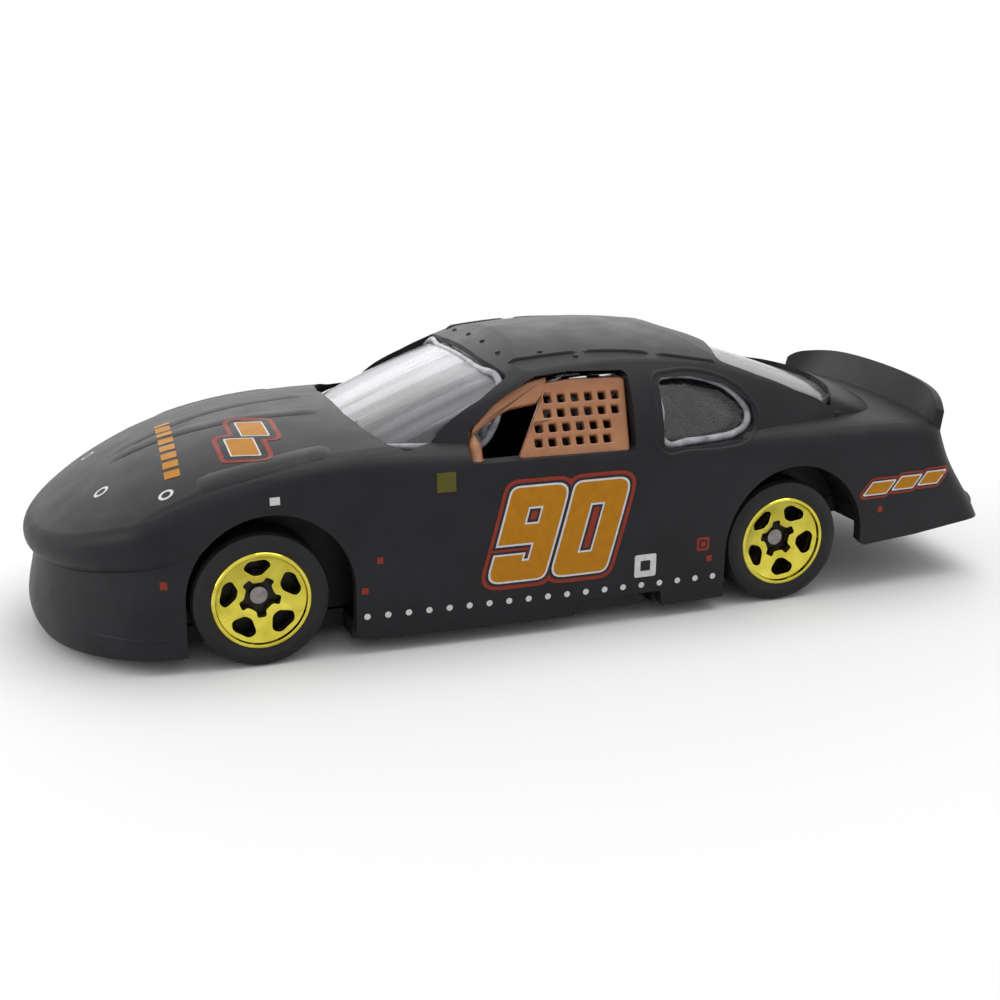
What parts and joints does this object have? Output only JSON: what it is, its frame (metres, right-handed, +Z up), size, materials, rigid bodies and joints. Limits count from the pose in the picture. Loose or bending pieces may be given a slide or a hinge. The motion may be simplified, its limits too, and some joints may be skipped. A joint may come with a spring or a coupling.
{
  "type": "die-cast toy stock car",
  "caption": "Die-cast toy stock car with a cast shell, plastic base, clear windows, window net, rear spoiler and wheels that spin on wire axles.",
  "frame": {"origin": "on the ground, under the middle of the car's length and width", "axes": "+X to the nose, +Y to the driver's side (left), +Z up"},
  "size_m": [0.0816, 0.0292, 0.0223],
  "materials": {
    "body_paint": "satin",
    "base_plastic": "matte",
    "interior_plastic": "matte",
    "net_plastic": "satin",
    "clear_plastic": "clear",
    "wheel_plastic": "satin",
    "rim_plating": "gold plated",
    "axle_wire": "drawn",
    "rivet_metal": "bare cast metal"
  },
  "bodies": {
    "car": {"body_shell": "body_paint", "chassis_base": "base_plastic", "rivet_front": "rivet_metal", "rivet_rear": "rivet_metal", "window_glass": "clear_plastic", "interior": "interior_plastic", "steering_wheel": "interior_plastic", "window_net": "net_plastic", "axle_front": "axle_wire", "axle_rear": "axle_wire"},
    "wheel_assembly_front_left": {"wheel_front_left": "wheel_plastic", "rim_front_left": "rim_plating"},
    "wheel_assembly_front_right": {"wheel_front_right": "wheel_plastic", "rim_front_right": "rim_plating"},
    "wheel_assembly_rear_left": {"wheel_rear_left": "wheel_plastic", "rim_rear_left": "rim_plating"},
    "wheel_assembly_rear_right": {"wheel_rear_right": "wheel_plastic", "rim_rear_right": "rim_plating"}
  },
  "joints": [
    {"name": "wheel_spin_front_left", "type": "hinge", "parent": "car", "child": "wheel_assembly_front_left", "pos_m": [0.0248, 0.0122, 0.00519], "axis": [0, 1, 0], "continuous": true},
    {"name": "wheel_spin_front_right", "type": "hinge", "parent": "car", "child": "wheel_assembly_front_right", "pos_m": [0.0248, -0.0122, 0.00519], "axis": [0, 1, 0], "continuous": true},
    {"name": "wheel_spin_rear_left", "type": "hinge", "parent": "car", "child": "wheel_assembly_rear_left", "pos_m": [-0.0189, 0.0122, 0.00519], "axis": [0, 1, 0], "continuous": true},
    {"name": "wheel_spin_rear_right", "type": "hinge", "parent": "car", "child": "wheel_assembly_rear_right", "pos_m": [-0.0189, -0.0122, 0.00519], "axis": [0, 1, 0], "continuous": true}
  ]
}
